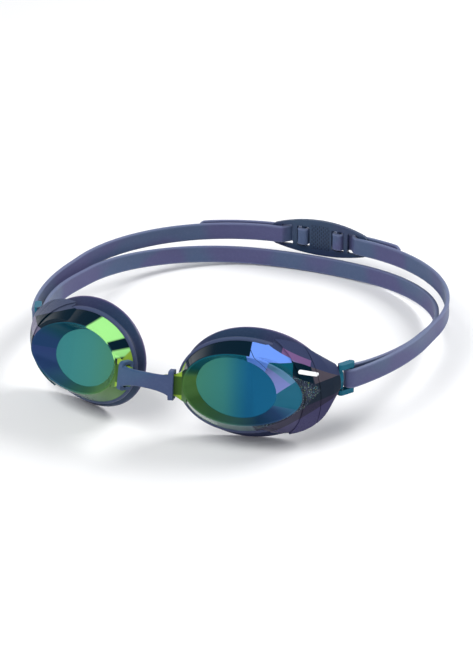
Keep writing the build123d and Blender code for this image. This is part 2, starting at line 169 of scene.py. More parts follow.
def cup_matrix():
    """The left cup: x to the temple, y up, z out of the front, with its origin in the plane of the rim."""
    mount = MOUNTS["window_left"]
    front, up = Vector(mount["axis"]), Vector(JOINTS["band_left_swivel"]["axis"])
    across = up.cross(front).normalized()
    origin = Vector(mount["pos_m"]) + front * DISH_DEPTH * MM - across * DISH_SHIFT * MM
    return axes_matrix(across, front.cross(across), front, origin)


LEVEL, CUP = level_matrix(), cup_matrix()


def tilted(point, angle):
    """Turn a level point about the line through both loop bars."""
    return Matrix.Translation(BAR) @ Matrix.Rotation(radians(angle), 4, "X") @ (point - BAR)


def on_side(matrix, side):
    """The matrix for the left side, or its mirror image."""
    return matrix if side == "left" else MIRROR @ matrix


# ---------------------------------------------------------------- meshes
def skin(rings, marks, closed=False, widths=None):
    """A bmesh through rings of points. The UV map holds the place round the ring and the ring's mark."""
    mesh = bmesh.new()
    uv = mesh.loops.layers.uv.new("surface")
    grid = [[mesh.verts.new(point) for point in ring] for ring in rings]
    count = len(rings[0])
    spans = len(grid) if closed else len(grid) - 1
    for row in range(spans):
        after = (row + 1) % len(grid)
        for column in range(count):
            beside = (column + 1) % count
            face = mesh.faces.new((grid[row][column], grid[row][beside],
                                   grid[after][beside], grid[after][column]))
            places = ((column, row), (column + 1, row), (column + 1, row + 1), (column, row + 1))
            for loop, (place, line) in zip(face.loops, places):
                across = widths[place % count] if widths else place / count
                loop[uv].uv = (across, marks[line % len(marks)])
    if not closed:
        for row, mark in ((grid[0], marks[0]), (grid[-1], marks[-1])):
            face = mesh.faces.new(row)
            for loop, place in zip(face.loops, range(count)):
                loop[uv].uv = (widths[place] if widths else 0.5, mark)
    return mesh


def piece(name, mesh, matrix, material, body=None, replaced=(), sharp=40, smooth=0):
    """Turn a bmesh into a shown object in the frame."""
    mesh.transform(matrix)
    bmesh.ops.recalc_face_normals(mesh, faces=mesh.faces)
    for face in mesh.faces:
        face.smooth = True
    for edge in mesh.edges:
        edge.smooth = len(edge.link_faces) == 2 and edge.calc_face_angle() < radians(sharp)
    data = bpy.data.meshes.new(name)
    mesh.to_mesh(data)
    mesh.free()
    data.materials.append(material)
    made = bpy.data.objects.new(name, data)
    bpy.context.scene.collection.objects.link(made)
    if smooth:
        modifier = made.modifiers.new("smooth", "SUBSURF")
        modifier.levels = modifier.render_levels = smooth
    if body:
        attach(made, body)
    if replaced:
        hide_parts(*replaced)
    return made


def strap_section():
    """Outline of the strap: rounded corners and a shallow recess between two edge margins on both faces."""
    half, tall, turn = STRAP_THICK / 2, STRAP_WIDTH / 2, STRAP_ROUND
    lip, sunk = tall - STRAP_MARGIN, half - STRAP_RECESS
    points = []
    for flip in (1, -1):
        points += [(flip * sunk, -flip * (lip - STRAP_SLOPE)), (flip * sunk, flip * (lip - STRAP_SLOPE))]
        points += [(flip * half, flip * lip), (flip * half, flip * (tall - turn))]
        for step in (1, 2, 3):
            angle = step * pi / 8
            points.append((flip * (half - turn * (1 - cos(angle))), flip * (tall - turn * (1 - sin(angle)))))
        points += [(flip * (half - turn), flip * tall), (-flip * (half - turn), flip * tall)]
        for step in (3, 2, 1):
            angle = step * pi / 8
            points.append((-flip * (half - turn * (1 - cos(angle))), flip * (tall - turn * (1 - sin(angle)))))
        points += [(-flip * half, flip * (tall - turn)), (-flip * half, flip * lip)]
    return points


def strap_skin(stations, section, tongue=None, tip=None):
    """Sweep the section along stations of (centre, outward direction, up direction, distance).

    It is slimmer between the two distances of the tongue, which hides in the next piece, and its corners are
    rounded towards the distance of the tip.
    """
    rings = []
    for centre, out, up, distance in stations:
        thick, tall = 1.0, 1.0
        if tongue and tongue[0] <= distance <= tongue[1]:
            thick, tall = TONGUE
        if tip:
            run = max(0.0, 1 - (tip - distance) / TIP_ROUND)
            tall = 1 - TIP_ROUND / STRAP_WIDTH * 2 * (1 - sqrt(1 - min(1.0, run) ** 2))
        rings.append([centre + out * t * thick + up * z * tall for t, z in section])
    widths = [0.5 + z / STRAP_WIDTH for _, z in section]
    return skin(rings, [distance / 100 for *_, distance in stations], widths=widths)


def spread(start, end, step):
    """Evenly spaced values from start to end, both included."""
    count = max(1, ceil(abs(end - start) / step))
    return [start + (end - start) * index / count for index in range(count + 1)]


def strand_station(distance, inset, tilt):
    """A place on a strand: the tilt grows over the first stretch from the loop."""
    point, heading = ring_at(distance)
    share = min(1.0, (RING_LENGTH - distance) / TILT_RUN)
    angle = tilt * share * share * (3 - 2 * share)
    turn = Matrix.Rotation(radians(angle), 3, "X")
    centre = tilted(point + inward(heading) * inset, angle)
    return centre, turn @ -inward(heading), turn @ Vector((0, 0, 1)), distance


def turn_stations():
    """Round the loop bar, from the inner layer to the outer one."""
    stations = []
    for angle in spread(0, pi, pi / 14):
        out = inward(LOOP_HEADING) * cos(angle) + along(LOOP_HEADING) * sin(angle)
        stations.append((BAR + out * BAR_GRIP, out, Vector((0, 0, 1)), RING_LENGTH + angle * BAR_GRIP))
    return stations


def upper_stations():
    """One run of strap: inner leg, round the bar, and the upper strand as far as the clip."""
    by_bar = RING_LENGTH - 0.5
    inner = [strand_station(distance, LAYER_INSET, 0.0) for distance in spread(RING_LENGTH - LEG, by_bar, 1)]
    inner = [(centre, -out, up, distance) for centre, out, up, distance in inner]
    outer = [strand_station(distance, 0.0, UPPER_RISE)
             for distance in spread(by_bar, CLIP_HALF, STATION_STEP)]
    return inner + turn_stations() + outer


def lower_stations():
    """Half of the lower strand, from the loop to the middle of the back."""
    distances = spread(RING_LENGTH - LEG, 0.0, STATION_STEP)
    return [strand_station(distance, LAYER_INSET, -LOWER_FALL) for distance in distances]


def tongue_stations(along_from, along_to, inset, tilt):
    """A short run past the end of a strand or across the middle, where distances are negative."""
    stations = []
    for distance in spread(along_from, along_to, 1.0):
        centre, out, up, _ = strand_station(abs(distance), inset, tilt)
        if distance < 0:
            centre.x, out.x, up.x = -centre.x, -out.x, -up.x
        stations.append((centre, out, up, distance))
    return stations


def at_back(distance, offset):
    """A level point at a distance along the back arc and an offset outside the upper strand."""
    point, heading = ring_at(distance)
    return point - inward(heading) * offset


def rounded(points, radius, steps=5):
    """A polyline with curves in place of its corners, evenly enough spaced for a sweep."""
    path = [points[0]]
    for before, corner, after in zip(points, points[1:], points[2:]):
        back, forth = (before - corner).normalized(), (after - corner).normalized()
        half_turn = back.angle(forth) / 2
        room = min((before - corner).length, (after - corner).length) * 0.499
        reach = min(radius / max(1e-6, abs(sin(half_turn) / cos(half_turn))), room)
        for step in range(steps + 1):
            share = step / steps
            path.append((corner + back * reach) * (1 - share) ** 2 + corner * 2 * share * (1 - share)
                        + (corner + forth * reach) * share ** 2)
    path.append(points[-1])
    return path


def weave_stations():
    """In at the clip's end window, out behind the inner bar, over the thin bar, round the pad and back."""
    behind = CLIP_OFFSET + (CLIP_THICK + STRAP_THICK) / 2 + WEAVE_GAP
    over_bar = CLIP_OFFSET - THIN_BAR_RADIUS - STRAP_THICK / 2 - WEAVE_GAP
    folded = behind + STRAP_THICK + FOLD_GAP
    outer_pass = (THIN_BAR_AT + THIN_BAR_RADIUS + INNER_BAR[0]) / 2
    inner_pass = (THIN_BAR_AT - THIN_BAR_RADIUS + PAD_HALF) / 2
    corners = (     # distance from the middle of the back, and offset outside the upper strand
        (CLIP_HALF, 0.0), (END_BAR - 0.8, 0.0), (INNER_BAR[1] + 1.2, behind), (outer_pass + 0.5, behind),
        (outer_pass, over_bar), (inner_pass, over_bar), (inner_pass, behind), (PAD_HALF - 1.8, behind),
        (PAD_HALF - 1.8, folded), (INNER_BAR[1] + 0.6, folded), (FOLD_END - 0.8, TAIL_OFFSET),
        (FOLD_END, TAIL_OFFSET))
    path = rounded([at_back(*corner) for corner in corners], FOLD_RADIUS)
    stations, distance = [], CLIP_HALF
    turn = Matrix.Rotation(radians(UPPER_RISE), 3, "X")
    for index, point in enumerate(path):
        after, before = path[min(index + 1, len(path) - 1)], path[max(index - 1, 0)]
        course = (after - before).normalized()
        out = Vector((-course.y, course.x, 0))
        distance -= (point - before).length
        stations.append((tilted(point, UPPER_RISE), turn @ -out, turn @ Vector((0, 0, 1)), distance))
    return stations


def tail_stations(end):
    """The free end, from its tongue inside the fold to its rounded tip."""
    distances = [*spread(FOLD_END - TAIL_TONGUE, FOLD_END - TONGUE_START, 2.0),
                 *spread(FOLD_END, end - TIP_ROUND, STATION_STEP),
                 *spread(end - 0.8 * TIP_ROUND, end, 0.15 * TIP_ROUND)]
    turn = Matrix.Rotation(radians(UPPER_RISE), 3, "X")
    stations = []
    for distance in distances:
        point, heading = ring_at(distance)
        centre = tilted(point - inward(heading) * TAIL_OFFSET, UPPER_RISE)
        stations.append((centre, turn @ -inward(heading), turn @ Vector((0, 0, 1)), distance))
    return stations


def seal_ring(depth, long):
    """An oval of the eye seal at a depth behind the rim. To the back it shifts outwards and grows taller."""
    share = max(0.0, min(1.0, (depth - SEAL_FRONT) / SEAL_RUN))
    shift = SEAL_SHIFT * share ** SEAL_SHIFT_POWER
    tall = long - SEAL_OVAL + SEAL_GROWTH * share
    ring = []
    for step in range(SEAL_POINTS):
        angle = 2 * pi * step / SEAL_POINTS
        height = tall * sin(angle) * (1 - SEAL_TAPER * cos(angle))
        ring.append(Vector((long * cos(angle) + shift, height, -depth)))
    return ring


# ---------------------------------------------------------------- materials
def srgb(*values):
    """A colour as seen, 0 to 255, to linear."""
    shares = [value / 255 for value in values]
    linear = [((share + 0.055) / 1.055) ** 2.4 if share > 0.04 else share / 12.92 for share in shares]
    return (*linear, 1)


def grey(value):
    """A linear grey."""
    return (value, value, value, 1)


class Shader:
    """A short way to write a node tree that ends in one Principled surface."""

    def __init__(self, name, **sockets):
        """Start a material, with values for the surface's sockets."""
        self.material = bpy.data.materials.new(name)
        self.material.use_nodes = True
        self.tree = self.material.node_tree
        self.surface = self.tree.nodes["Principled BSDF"]
        self.set(**sockets)

    def put(self, socket, value):
        """Link a socket to another one, or give it a value."""
        if isinstance(value, bpy.types.NodeSocket):
            self.tree.links.new(value, socket)
        else:
            socket.default_value = value

    def set(self, **sockets):
        """Fill the surface's own sockets, named with underscores for spaces."""
        for key, value in sockets.items():
            self.put(self.surface.inputs[key.replace("_", " ")], value)

    def node(self, kind, inputs=None, output=0, **settings):
        """Add a node and return one of its outputs."""
        node = self.tree.nodes.new("ShaderNode" + kind)
        for key, value in settings.items():
            setattr(node, key, value)
        for socket, value in (inputs or {}).items():
            self.put(node.inputs[socket], value)
        return node.outputs[output]

    def math(self, operation, a, b=0.0, clamp=False):
        """One step of arithmetic, on sockets or numbers."""
        return self.node("Math", {0: a, 1: b}, operation=operation, use_clamp=clamp)

    def place(self):
        """The place on the object, in metres."""
        return self.node("TexCoord", output="Object")

    def uv(self):
        """The UV map that skin makes."""
        return self.node("UVMap", uv_map="surface")

    def part(self, vector, axis):
        """One component of a vector."""
        return self.node("SeparateXYZ", {0: vector}, output=axis)

    def dot(self, vector, direction):
        """Distance along a direction."""
        return self.node("VectorMath", {0: vector, 1: direction}, output="Value", operation="DOT_PRODUCT")

    def ramp(self, share, stops):
        """A colour ramp. All the positions come first, because moving an element can change the order."""
        node = self.tree.nodes.new("ShaderNodeValToRGB")
        self.put(node.inputs[0], share)
        elements = node.color_ramp.elements
        while len(elements) < len(stops):
            elements.new(0.5)
        for element, (position, _) in zip(elements, stops):
            element.position = position
        for element, (_, colour) in zip(elements, stops):
            element.color = colour
        return node.outputs[0]

    def level(self, share, low, high):
        """0 below low, 1 above high, smooth between."""
        return self.node("MapRange", {0: share, 1: low, 2: high}, interpolation_type="SMOOTHSTEP")

    def mix(self, share, a, b):
        """A blend of two colours, b where the share is 1."""
        return self.node("Mix", {0: share, 6: a, 7: b}, output=2, data_type="RGBA")

    def noise(self, vector, scale, detail):
        """Smooth noise, from 0 to 1."""
        return self.node("TexNoise", {"Vector": vector, "Scale": scale, "Detail": detail, "Roughness": 0.55})

    def bump(self, height, strength, distance):
        """Relief in the shading only."""
        self.set(Normal=self.node("Bump", {"Height": height, "Strength": strength, "Distance": distance}))


def silicone(name, main, tint, pale, edges=None):
    """Satin silicone: slow shifts between two colours, a faint cast grain, and, where an edges function is given,
    the painted highlights and shade that it lays on edges and bands.
    """
    shader = Shader(name, Specular_IOR_Level=0.2)
    place = shader.place()
    slow = shader.level(shader.noise(place, 32.0, 1.0), 0.42, 0.58)
    colour = shader.mix(slow, main, tint)
    grain = shader.noise(place, 900.0, 3.0)
    colour = shader.mix(shader.math("MULTIPLY", shader.level(grain, 0.45, 0.75), 0.1), colour, pale)
    if edges:
        colour = edges(shader, colour, pale)
    shader.set(Base_Color=colour)
    shader.set(Roughness=shader.node("MapRange", {0: slow, 3: 0.4, 4: 0.54}))
    shader.bump(grain, 0.08, 0.0002)
    return shader.material


def strap_edges(shader, colour, pale):
    """The rounded margins of the strap catch more light."""
    height = shader.part(shader.uv(), 0)
    away = shader.math("ABSOLUTE", shader.math("SUBTRACT", height, 0.5))
    return shader.mix(shader.math("MULTIPLY", shader.level(away, 0.36, 0.47), 0.55), colour, pale)


def seal_bands_and_painted_light(shader, colour, pale):
    """Front band pale; groove left darker than its neighbours, a painted shade; flange edge touched with violet, a
    painted highlight.
    """
    depth = shader.part(shader.uv(), 1)
    paler = shader.ramp(depth, ((0.0, grey(0.5)), (0.08, grey(0.6)), (0.2, grey(0.0)), (0.42, grey(0.0)),
                                (0.6, grey(0.08)), (1.0, grey(0.1))))
    colour = shader.mix(paler, colour, pale)
    # Violet along the flange edge: a painted highlight.
    violet = shader.ramp(depth, ((0.80, grey(0.0)), (0.9, grey(0.7)), (0.98, grey(0.2))))
    return shader.mix(violet, colour, srgb(112, 96, 140))


def place_in(shader, matrix):
    """Place in the axes of a matrix, in millimetres."""
    away = shader.node("VectorMath", {0: shader.place(), 1: matrix.to_translation()}, operation="SUBTRACT")
    axes = [Vector(matrix.col[index][:3]).normalized() for index in range(3)]
    return [shader.math("MULTIPLY", shader.dot(away, axis), 1 / MM) for axis in axes]


def rim_place(shader, u, v):
    """The share of a turn round the rim and the square of the distance out, 1 at the rim.

    The turn is 0 at the temple, 0.25 at the bottom, 0.5 at the nose and 0.75 at the top.
    """
    u_share = shader.math("DIVIDE", u, RIM_LONG - COATING_INSET)
    tall = shader.math("MULTIPLY", shader.math("SUBTRACT", 1.0, shader.math("MULTIPLY", u_share, RIM_TAPER)),
                       RIM_TALL - COATING_INSET)
    v_share = shader.math("DIVIDE", shader.math("SUBTRACT", v, shader.math("MULTIPLY", u, RIM_SLANT)), tall)
    polar = shader.math("ARCTAN2", v_share, shader.math("MULTIPLY", u_share, -1.0))
    share = shader.math("ADD", shader.math("DIVIDE", polar, 2 * pi), 0.5)
    return share, shader.math("ADD", shader.math("POWER", u_share, 2.0), shader.math("POWER", v_share, 2.0))


def behind_window(shader, u, v, w):
    """1 on the surfaces inside the cup, seen from behind: within the wall's middle and under the dish."""
    squares = []
    for place, (front, growth) in ((u, WALL_LONG), (v, WALL_TALL)):
        reach = shader.math("SUBTRACT", front, shader.math("MULTIPLY", w, growth))
        squares.append(shader.math("POWER", shader.math("DIVIDE", place, reach), 2.0))
    within = shader.level(shader.math("ADD", *squares), 1.01, 0.99)
    return shader.math("MULTIPLY", within, shader.level(w, -DISH_DEPTH - 0.2, -DISH_DEPTH - 0.5))


def patch(shader, flat, lines):
    """1 where a place on the cup is to the left of every line (u, v, u, v), 0 elsewhere."""
    inside = 1.0
    for u0, v0, u1, v1 in lines:
        normal = Vector((v0 - v1, u1 - u0, 0)) / hypot(u1 - u0, v1 - v0)
        offset = normal.dot(Vector((u0, v0, 0)))
        left = shader.level(shader.dot(flat, normal), offset - 0.1, offset + 0.1)
        inside = shader.math("MULTIPLY", inside, left)
    return inside


def patches(shader, flat, colour, table):
    """Lay coloured patches over a colour, in order."""
    for paint, *lines in table:
        colour = shader.mix(patch(shader, flat, lines), colour, paint)
    return colour


def pill(shader, flat, start, end, radius):
    """1 inside a round-ended bar between two places on the cup."""
    start, run = Vector((*start, 0)), Vector((*end, 0)) - Vector((*start, 0))
    away = shader.node("VectorMath", {0: flat, 1: start}, operation="SUBTRACT")
    share = shader.math("DIVIDE", shader.dot(away, run), run.length_squared, clamp=True)
    along_bar = shader.node("VectorMath", {0: run, 3: share}, operation="SCALE")
    gap = shader.node("VectorMath", {0: away, 1: along_bar}, output="Value", operation="DISTANCE")
    return shader.level(gap, radius + 0.06, radius - 0.06)


def speckle(shader):
    """Foil specks in a dark ground."""
    place = shader.place()
    cells = shader.node("TexVoronoi", {"Vector": place, "Scale": 1700.0}).node
    dots = shader.level(cells.outputs["Distance"], 0.45, 0.3)
    hue = shader.ramp(shader.part(cells.outputs["Color"], 0), SPECK_STOPS)
    broad = shader.level(shader.noise(place, 90.0, 2.0), 0.4, 0.6)
    ground = shader.mix(broad, srgb(28, 38, 54), srgb(56, 62, 78))
    return shader.mix(shader.math("MULTIPLY", dots, 0.6), ground, hue)


def arm_paint(shader, side, flat):
    """The coating on the temple arm, which the lens, the trim and the accent share. Its upper patches are partly
    painted reflections and shade.
    """
    colour = patches(shader, flat, ARM_GROUND[side], ARM_LOWER[side])
    colour = shader.mix(patch(shader, flat, SPECKLED[side]), colour, speckle(shader))
    # Upper patches: partly the coating's colour and partly painted reflections and shade, the navy and periwinkle
    # among them.
    colour = patches(shader, flat, colour, ARM_UPPER_COATING_AND_REFLECTIONS[side])
    if side == "left":
        colour = shader.mix(pill(shader, flat, *MARK), colour, MARK_WHITE)
    return colour


def lens_material(side):
    """Mirror coating: its colour runs round the bevel and across the window, from green at the nose. Reflections
    are painted into it: a navy dark top, periwinkle and lavender patches on the left side and lime stripes on the
    right.
    """
    shader = Shader(f"mirror_coating_{side}", Specular_IOR_Level=0.12)
    u, v, w = place_in(shader, on_side(CUP, side))
    flat = shader.node("CombineXYZ", {0: u, 1: v})
    share, radius = rim_place(shader, u, v)
    across = shader.node("MapRange", {0: u, 1: WINDOW_SPAN[0], 2: WINDOW_SPAN[1]})
    window = shader.ramp(across, WINDOW_STOPS[side])
    # Painted reflections: the patches laid over the bevel's colour.
    bevel = patches(shader, flat, shader.ramp(share, BEVEL_STOPS[side]), BEVEL_REFLECTION_PATCHES[side])
    arm = patch(shader, flat, [ARM_START])
    # The wall's ramp carries a painted dark reflection along its top and, on the right side, painted lime
    # reflections.
    wall = shader.mix(arm, shader.ramp(share, WALL_STOPS[side]), arm_paint(shader, side, flat))
    deep = shader.level(w, -DISH_DEPTH + 0.12, -DISH_DEPTH + 0.04)
    front = shader.level(w, -DISH_DEPTH - 0.3, -DISH_DEPTH)
    inside = shader.math("MULTIPLY", shader.level(radius, 1.03, 1.0), front)
    colour = shader.mix(inside, wall, shader.mix(deep, bevel, window))
    if side == "left":
        # A thin navy line of painted dark reflection along a seam in the bevel.
        colour = shader.mix(pill(shader, flat, *BEVEL_SEAM), colour, NAVY_SHADE_AND_REFLECTION)
    behind = behind_window(shader, u, v, w)
    colour = shader.mix(behind, colour, shader.mix(across, *BEHIND_COLOURS))
    tab = shader.level(u, NOSE_TAB_AT, NOSE_TAB_AT - 0.4)
    edge = shader.level(shader.math("ABSOLUTE", v), 3.6, 4.0)
    colour = shader.mix(tab, colour, shader.mix(edge, *TAB_COLOURS))
    loop = shader.level(u, LOOP_AT, LOOP_AT + 0.2)
    shader.set(Base_Color=shader.mix(loop, colour, LOOP_BLUE))
    plain = shader.math("MAXIMUM", shader.math("MAXIMUM", tab, loop), shader.math("SUBTRACT", arm, behind))
    metal = shader.math("MULTIPLY", inside, shader.node("MapRange", {0: deep, 3: 0.3, 4: 0.8}))
    metal = shader.math("MAXIMUM", metal, 0.06)
    shader.set(Metallic=metal, Roughness=shader.node("MapRange", {0: plain, 3: 0.09, 4: 0.2}))
    return shader.material


def arm_material(name, side, rough):
    """Satin plate on the temple arm."""
    shader = Shader(f"{name}_{side}", Specular_IOR_Level=0.04)
    u, v, _ = place_in(shader, on_side(CUP, side))
    flat = shader.node("CombineXYZ", {0: u, 1: v})
    shader.set(Base_Color=arm_paint(shader, side, flat))
    grain = shader.noise(shader.place(), 1400.0, 2.0)
    shader.set(Roughness=shader.node("MapRange", {0: grain, 3: rough - 0.07, 4: rough + 0.07}))
    shader.bump(grain, 0.06, 0.0001)
    return shader.material


# ---- the coating's colours, with painted reflections and shade among them; each side gets its own, as its painted reflections differ. Places and lines on it are in the cup's axes: (u, v) and (u, v, u, v). ----
# Periwinkle, lavender and lime are painted reflections of the soft boxes; navy is painted dark reflection and
# shade.
NAVY_SHADE_AND_REFLECTION, PERIWINKLE_REFLECTION, LAVENDER_REFLECTION = srgb(4, 28, 42), srgb(106, 148, 236), srgb(118, 128, 188)
TEAL, LIME_REFLECTION, SLATE = srgb(4, 82, 100), srgb(158, 230, 136), srgb(54, 62, 92)
MARK, MARK_WHITE = ((22.6, 9.0), (28.6, 7.5), 0.75), srgb(250, 250, 252)
BEVEL_SEAM = (1.6, 16.8), (9.3, 8.4), 0.1
BEHIND_COLOURS = srgb(44, 84, 88), srgb(40, 66, 98)     # inside the cup, nose side and temple side
NOSE_TAB_AT, TAB_COLOURS = -24.2, (srgb(60, 94, 36), srgb(140, 176, 60))     # the tab's middle and its edges
LOOP_AT, LOOP_BLUE = 36.2, srgb(20, 96, 120)
SPECK_STOPS = ((0.0, srgb(80, 92, 108)), (0.5, srgb(100, 112, 126)), (0.66, srgb(140, 158, 74)),
               (0.8, srgb(70, 150, 156)), (1.0, srgb(150, 160, 172)))
WINDOW_SPAN = -20.0, 14.0   # u where its colours start and end
WINDOW_STOPS = {
    "left": ((0.0, srgb(66, 132, 112)), (0.35, srgb(56, 126, 124)), (0.52, srgb(34, 106, 130)),
             (0.64, srgb(22, 94, 134)), (1.0, srgb(24, 96, 134))),
    "right": ((0.0, srgb(68, 128, 104)), (0.4, srgb(60, 128, 122)), (0.8, srgb(54, 126, 128)),
              (1.0, srgb(54, 122, 126)))}
# The right side's lime stripes are painted reflections.
BEVEL_STOPS = {
    "left": ((0.0, srgb(30, 96, 120)), (0.08, srgb(54, 98, 130)), (0.13, srgb(40, 66, 104)),
             (0.2, srgb(30, 62, 90)), (0.27, srgb(58, 98, 92)), (0.34, srgb(64, 104, 72)),
             (0.42, srgb(66, 106, 56)), (0.53, srgb(68, 108, 50)), (0.575, srgb(20, 84, 88)), (0.62, TEAL),
             (0.9, TEAL), (0.93, srgb(30, 96, 120))),
    "right": ((0.0, srgb(38, 58, 106)), (0.12, srgb(40, 66, 108)), (0.2, srgb(46, 88, 110)),
              (0.28, srgb(58, 108, 92)), (0.36, srgb(68, 112, 62)), (0.5, srgb(66, 104, 40)),
              (0.54, srgb(62, 100, 36)), (0.545, LIME_REFLECTION),
              (0.572, LIME_REFLECTION), (0.578, srgb(4, 58, 72)), (0.608, srgb(4, 58, 72)), (0.612, LIME_REFLECTION), (0.708, LIME_REFLECTION),
              (0.713, srgb(4, 74, 90)), (0.86, srgb(6, 66, 84)), (0.93, srgb(24, 56, 96)))}
# Navy along the top is painted dark reflection; the right side's lime stripes are painted reflections.
WALL_STOPS = {
    "left": ((0.0, srgb(44, 54, 76)), (0.12, srgb(76, 80, 104)), (0.2, srgb(84, 100, 112)),
             (0.28, srgb(96, 120, 118)), (0.38, srgb(108, 134, 116)), (0.46, srgb(74, 106, 60)),
             (0.52, srgb(50, 80, 38)), (0.56, srgb(8, 36, 40)), (0.6, NAVY_SHADE_AND_REFLECTION), (1.0, NAVY_SHADE_AND_REFLECTION)),
    "right": ((0.0, srgb(50, 70, 90)), (0.15, srgb(70, 84, 108)), (0.25, srgb(92, 118, 112)),
              (0.36, srgb(92, 124, 84)), (0.46, srgb(80, 116, 60)), (0.52, srgb(60, 96, 40)), (0.525, NAVY_SHADE_AND_REFLECTION),
              (0.548, NAVY_SHADE_AND_REFLECTION), (0.552, LIME_REFLECTION), (0.576, LIME_REFLECTION), (0.58, NAVY_SHADE_AND_REFLECTION), (0.614, NAVY_SHADE_AND_REFLECTION), (0.618, LIME_REFLECTION),
              (0.708, LIME_REFLECTION), (0.713, NAVY_SHADE_AND_REFLECTION), (1.0, NAVY_SHADE_AND_REFLECTION))}
# Each patch is its colour, then the lines that it lies to the left of.
# The bevel's patches are painted reflections of the soft boxes.
BEVEL_REFLECTION_PATCHES = {
    "left": ((PERIWINKLE_REFLECTION, (1.5, 17.0, 0.9, 9.8), (0.0, 3.0, 10.0, 3.0)),
             (LAVENDER_REFLECTION, (9.3, 9.8, 7.5, 5.9), (13.1, -1.3, 21.0, 5.2), (0.0, -2.0, 10.0, -2.0)),
             (srgb(90, 134, 168), (9.3, 9.8, 7.5, 5.9), (9.6, 9.8, 18.3, 4.3), (13.1, -1.3, 21.0, 5.2)),
             (srgb(30, 96, 120), (21.0, 5.2, 13.1, -1.3), (0.0, -6.0, 20.0, -6.0), (9.0, 10.0, 9.0, -10.0))),
    "right": ()}
ARM_START = (2.2, 18.0, 5.0, -18.4)
ARM_GROUND = {"left": srgb(32, 42, 56), "right": srgb(104, 100, 126)}
ARM_LOWER = {
    "left": ((srgb(50, 48, 68), (30.0, -3.0, 14.0, -9.0)), (srgb(66, 64, 98), (33.0, -4.0, 16.0, -15.0))),
    "right": ((srgb(12, 78, 92), (30.0, -2.0, 10.0, -2.0)),)}
SPECKLED = {
    "left": ((28.4, 3.9, 20.8, 7.3), (30.6, 1.2, 28.4, 3.9), (24.4, -5.9, 30.6, 1.2),
             (14.0, -12.0, 24.4, -5.9)),
    "right": ((30.0, 2.5, 10.0, 2.5), (10.0, -2.0, 30.0, -2.0))}
ARM_TOP = (10.3, 17.0, 35.6, 6.5)
# Upper patches of the arm: partly the coating's colour, partly painted reflections and shade.
ARM_UPPER_COATING_AND_REFLECTIONS = {
    "left": ((NAVY_SHADE_AND_REFLECTION, (20.8, 7.3, 28.4, 3.9), (28.0, 3.9, 26.2, 10.7)),
             (srgb(78, 72, 82), (28.4, 3.9, 35.5, 6.0), (26.2, 10.7, 28.4, 3.9)),
             (srgb(110, 100, 140), (18.6, 12.9, 26.7, 10.7), (27.0, 0.0, 27.0, 10.0)),
             (TEAL, (19.9, 8.0, 19.5, 12.5), (19.0, 12.2, 8.0, 12.2), (0.0, 6.0, 10.0, 6.0)),
             (PERIWINKLE_REFLECTION, (8.0, 12.2, 18.0, 12.2), (19.2, 12.0, 18.6, 13.0)),
             (SLATE, ARM_TOP),
             (srgb(112, 84, 128), ARM_TOP, (26.0, 12.6, 14.5, 17.2), (14.5, 18.0, 14.5, 10.0),
              (26.0, 8.0, 26.0, 14.0))),
    "right": ((NAVY_SHADE_AND_REFLECTION, (20.0, 7.0, 33.6, 8.0)), (srgb(70, 78, 102), ARM_TOP))}


def dash_wave(shader, value, half):
    """1 near the middle of every whole step of a value."""
    away = shader.math("ABSOLUTE", shader.math("SUBTRACT", shader.math("FRACT", value), 0.5))
    return shader.level(away, half + 0.08, half - 0.08)


def clip_material():
    """Moulded plastic, with rows of short upright dashes on the pad."""
    shader = Shader("clip_plastic", Specular_IOR_Level=0.3)
    place = shader.place()
    broad = shader.level(shader.noise(place, 35.0, 2.0), 0.35, 0.65)
    x, _, z = place_in(shader, LEVEL)
    column = shader.math("MULTIPLY", x, DASH_COLUMNS)
    stagger = shader.math("MULTIPLY", shader.math("FLOOR", column), 0.5)
    row = shader.math("ADD", shader.math("MULTIPLY", z, DASH_ROWS), stagger)
    dash = shader.math("MULTIPLY", dash_wave(shader, column, 0.24), dash_wave(shader, row, 0.32))
    height = shader.math("SUBTRACT", z, CLIP_RISE)
    pad = shader.math("MULTIPLY", shader.level(shader.math("ABSOLUTE", x), DASHED_LONG + 0.1, DASHED_LONG),
                      shader.level(shader.math("ABSOLUTE", height), DASHED_TALL + 0.1, DASHED_TALL))
    dash = shader.math("MULTIPLY", dash, pad)
    colour = shader.mix(broad, srgb(46, 66, 92), srgb(50, 60, 92))
    shader.set(Base_Color=shader.mix(dash, colour, srgb(24, 36, 56)))
    grain = shader.noise(place, 1400.0, 2.0)
    shader.set(Roughness=shader.node("MapRange", {0: grain, 3: 0.34, 4: 0.5}))
    shader.bump(shader.math("SUBTRACT", shader.math("MULTIPLY", grain, 0.1), dash), 0.5, 0.0003)
    return shader.material


# ---------------------------------------------------------------- pieces
def make_lower_strand(side, level, section, material):
    """Half of the lower strand. The left one has a tongue that hides in the right one."""
    stations, hidden = lower_stations(), None
    if side == "left":
        stations += tongue_stations(-TONGUE_START, -MIDDLE_TONGUE, LAYER_INSET, -LOWER_FALL)
        hidden = (-MIDDLE_TONGUE, -TONGUE_START / 2)
    piece(f"lower_strand_{side}", strap_skin(stations, section, hidden), level, material, f"band_{side}",
          [f"strap_lower_{side}"])


def make_upper_strand(side, level, section, material):
    """The turn round the loop's bar and the upper strand in one, bending where the strand lifts."""
    upper = piece(f"upper_strand_{side}", strap_skin(upper_stations(), section), level, material,
                  replaced=[f"strap_turn_{side}", f"strap_upper_{side}"])
    start, heading = ring_at(RING_LENGTH - LEG)
    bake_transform(upper)


